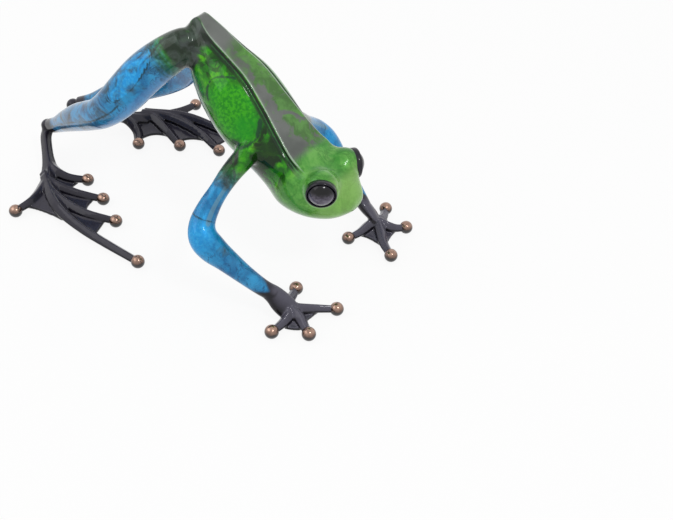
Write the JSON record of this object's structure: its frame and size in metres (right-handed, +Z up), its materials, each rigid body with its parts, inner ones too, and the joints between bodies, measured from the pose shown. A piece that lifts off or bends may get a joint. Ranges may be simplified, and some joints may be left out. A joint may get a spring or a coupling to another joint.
{
  "type": "frog figurine",
  "caption": "Cast bronze tree frog in mid stride, head low and hips high, standing on small ball finger and toe tips, with coloured patina.",
  "frame": {"origin": "on the ground plane under the middle of the figure's box", "axes": "the frog looks along -Y, its left side is +X and up is +Z"},
  "size_m": [0.134, 0.1964, 0.1102],
  "materials": {
    "green_patina": "green translucent patina over cast bronze under a glossy clear coat, darker at the back and the hips",
    "blue_patina": "blue translucent patina with dark veins over cast bronze under a glossy clear coat",
    "black_patina": "black patina over cast bronze under a glossy clear coat",
    "bare_bronze": "polished bare bronze, blackened below",
    "eye_glass": "glossy black",
    "bronze_rod": "plain drawn bronze rod, hidden in the joints"
  },
  "bodies": {
    "root": {"torso_casting": "green_patina", "core_plug": "green_patina", "left_arm": "blue_patina", "left_hind_leg": "blue_patina", "left_hand": "black_patina", "left_foot": "black_patina", "left_eye_rim": "black_patina", "left_eye": "eye_glass", "left_finger_tips": "bare_bronze", "left_toe_tips": "bare_bronze", "right_arm": "blue_patina", "right_hind_leg": "blue_patina", "right_hand": "black_patina", "right_foot": "black_patina", "right_eye_rim": "black_patina", "right_eye": "eye_glass", "right_finger_tips": "bare_bronze", "right_toe_tips": "bare_bronze", "shoulder_dowels": "bronze_rod", "wrist_dowels": "bronze_rod", "hip_dowels": "bronze_rod", "ankle_dowels": "bronze_rod"}
  },
  "joints": []
}
